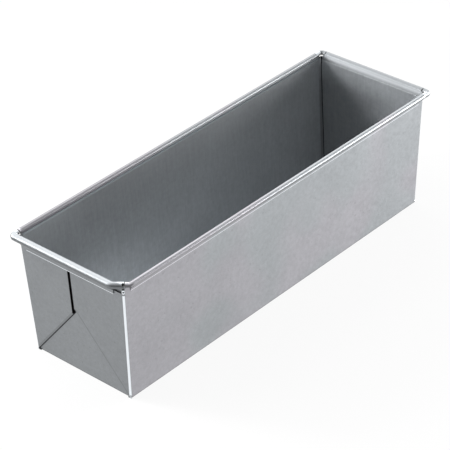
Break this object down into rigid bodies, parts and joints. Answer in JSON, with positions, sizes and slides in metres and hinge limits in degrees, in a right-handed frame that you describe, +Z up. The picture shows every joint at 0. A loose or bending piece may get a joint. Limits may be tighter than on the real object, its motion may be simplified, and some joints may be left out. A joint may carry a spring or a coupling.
{
  "type": "pullman loaf pan",
  "caption": "Long straight-sided open loaf pan, folded from sheet steel with pleated ends and a rim curled over a wire, for baking square sandwich loaves.",
  "frame": {"origin": "middle of the underside of the base", "axes": "+X along the pan's length, away from the end with the longer rim curl; +Y across the width; +Z up"},
  "size_m": [0.3458, 0.1125, 0.1016],
  "materials": {
    "pan_sheet": "aluminised steel sheet, satin grey with a faint mottle outside and fine drawn streaks inside",
    "wire": "bare drawn steel wire"
  },
  "bodies": {
    "root": {"folded_pan": "pan_sheet", "rim_wire": "wire"}
  },
  "joints": []
}
